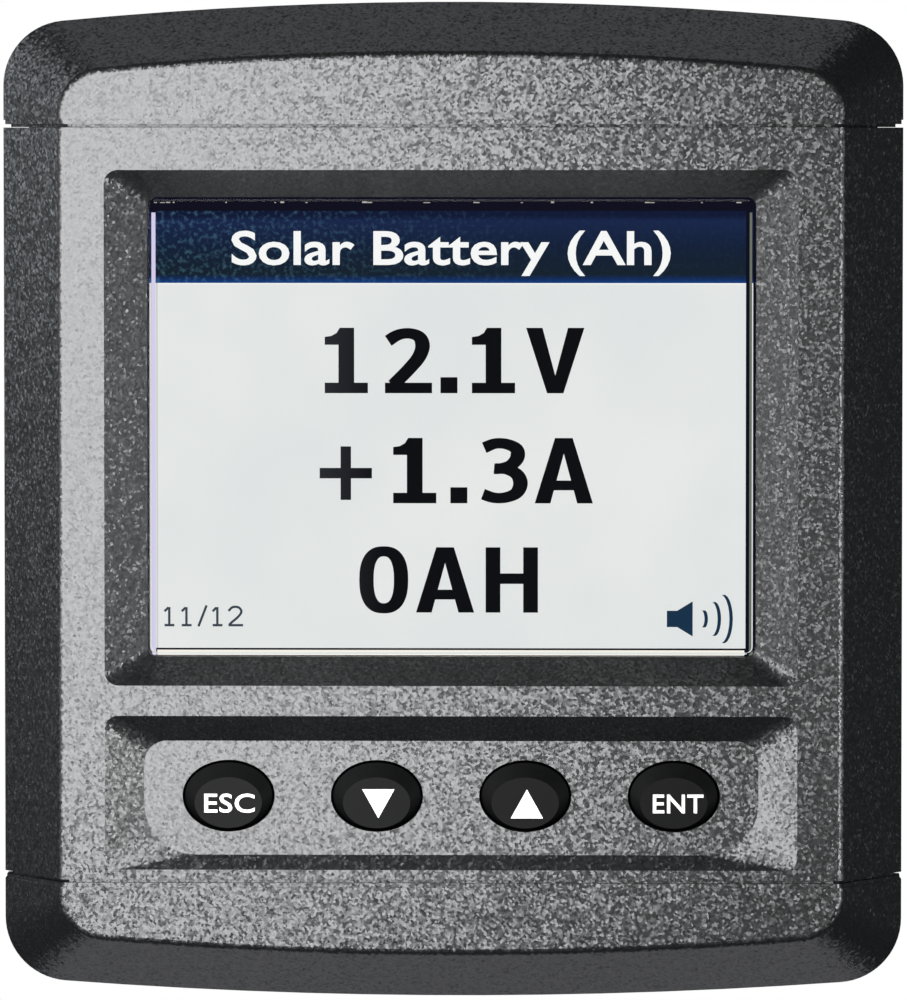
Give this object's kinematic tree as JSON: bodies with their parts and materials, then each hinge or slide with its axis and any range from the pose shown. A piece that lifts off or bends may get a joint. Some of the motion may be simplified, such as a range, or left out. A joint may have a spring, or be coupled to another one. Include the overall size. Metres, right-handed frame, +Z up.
{
  "type": "battery monitor display head",
  "caption": "Panel-mounted battery monitor head with a colour display, menu keys, clip-on end covers over its mounting screws and a pluggable rear terminal row.",
  "frame": {"origin": "centre of the four mounting holes, on the panel's surface behind the bezel", "axes": "+X across the face to the viewer's right, +Y from the face into the panel, +Z up"},
  "size_m": [0.105, 0.056, 0.1162],
  "materials": {
    "shell_plastic": "fine spark-eroded texture",
    "silicone_rubber": "satin",
    "carbon_pill": "matt",
    "clear_acrylic": "clear, polished",
    "foam_tape": "matt foam",
    "gasket_foam": "closed-cell foam",
    "frame_steel": "satin",
    "display_glass": "clear",
    "light_sheet": "frosted",
    "white_plastic": "satin",
    "led_package": "lens",
    "board_laminate": "solder mask",
    "gold_pad": "plated",
    "chip_moulding": "moulded epoxy",
    "tinned_metal": "tinned",
    "ceramic": "glazed ends",
    "relay_case": "moulded",
    "capacitor_sleeve": "shrunk sleeve",
    "ferrite": "pressed",
    "brass": "nickel-free, turned",
    "zinc_steel": "bright zinc",
    "connector_plastic": "satin"
  },
  "bodies": {
    "housing": {"alarm_relay": "relay_case", "backlight_leds": "led_package", "backlight_tray": "white_plastic", "board_screws": "zinc_steel", "board_spacers": "brass", "buzzer": "chip_moulding", "capacitors": "capacitor_sleeve", "chip_resistors": "ceramic", "control_board": "board_laminate", "crystal": "tinned_metal", "diffuser_sheet": "light_sheet", "display_driver": "chip_moulding", "display_driver_legs": "tinned_metal", "display_frame": "frame_steel", "display_front_glass": "display_glass", "display_rear_glass": "display_glass", "display_window": "clear_acrylic", "front_bezel": "shell_plastic", "header_pins": "tinned_metal", "housing_screws": "zinc_steel", "input_board": "board_laminate", "input_fuse": "ceramic", "key_contacts": "gold_pad", "key_web_down": "silicone_rubber", "key_web_enter": "silicone_rubber", "key_web_escape": "silicone_rubber", "key_web_up": "silicone_rubber", "keypad_mat": "silicone_rubber", "light_guide": "light_sheet", "link_header": "chip_moulding", "link_pins": "tinned_metal", "link_socket": "chip_moulding", "microcontroller": "chip_moulding", "microcontroller_legs": "tinned_metal", "panel_gasket": "gasket_foam", "power_inductor": "ferrite", "rear_housing": "shell_plastic", "reflector_sheet": "light_sheet", "regulator_tab": "tinned_metal", "spacer_screws_front": "zinc_steel", "spacer_screws_rear": "zinc_steel", "terminal_header": "connector_plastic", "voltage_regulator": "chip_moulding", "window_tape": "foam_tape"},
    "top_cover": {"top_cover": "shell_plastic"},
    "bottom_cover": {"bottom_cover": "shell_plastic"},
    "terminal_plug": {"terminal_plug": "connector_plastic", "clamp_cages": "tinned_metal", "clamp_screws": "zinc_steel"},
    "key_escape": {"key_escape": "silicone_rubber", "contact_pill_escape": "carbon_pill"},
    "key_down": {"key_down": "silicone_rubber", "contact_pill_down": "carbon_pill"},
    "key_up": {"key_up": "silicone_rubber", "contact_pill_up": "carbon_pill"},
    "key_enter": {"key_enter": "silicone_rubber", "contact_pill_enter": "carbon_pill"}
  },
  "joints": [
    {"name": "top_cover_pull", "type": "slide", "parent": "housing", "child": "top_cover", "axis": [0, -1, 0], "range_m": [0, 0.025]},
    {"name": "bottom_cover_pull", "type": "slide", "parent": "housing", "child": "bottom_cover", "axis": [0, -1, 0], "range_m": [0, 0.025]},
    {"name": "terminal_plug_pull", "type": "slide", "parent": "housing", "child": "terminal_plug", "axis": [0, 1, 0], "range_m": [0, 0.022]},
    {"name": "key_escape_press", "type": "slide", "parent": "housing", "child": "key_escape", "axis": [0, 1, 0], "range_m": [0, 0.001], "stiffness_N_per_m": 1200, "deforming": ["key_web_escape"]},
    {"name": "key_down_press", "type": "slide", "parent": "housing", "child": "key_down", "axis": [0, 1, 0], "range_m": [0, 0.001], "stiffness_N_per_m": 1200, "deforming": ["key_web_down"]},
    {"name": "key_up_press", "type": "slide", "parent": "housing", "child": "key_up", "axis": [0, 1, 0], "range_m": [0, 0.001], "stiffness_N_per_m": 1200, "deforming": ["key_web_up"]},
    {"name": "key_enter_press", "type": "slide", "parent": "housing", "child": "key_enter", "axis": [0, 1, 0], "range_m": [0, 0.001], "stiffness_N_per_m": 1200, "deforming": ["key_web_enter"]}
  ]
}
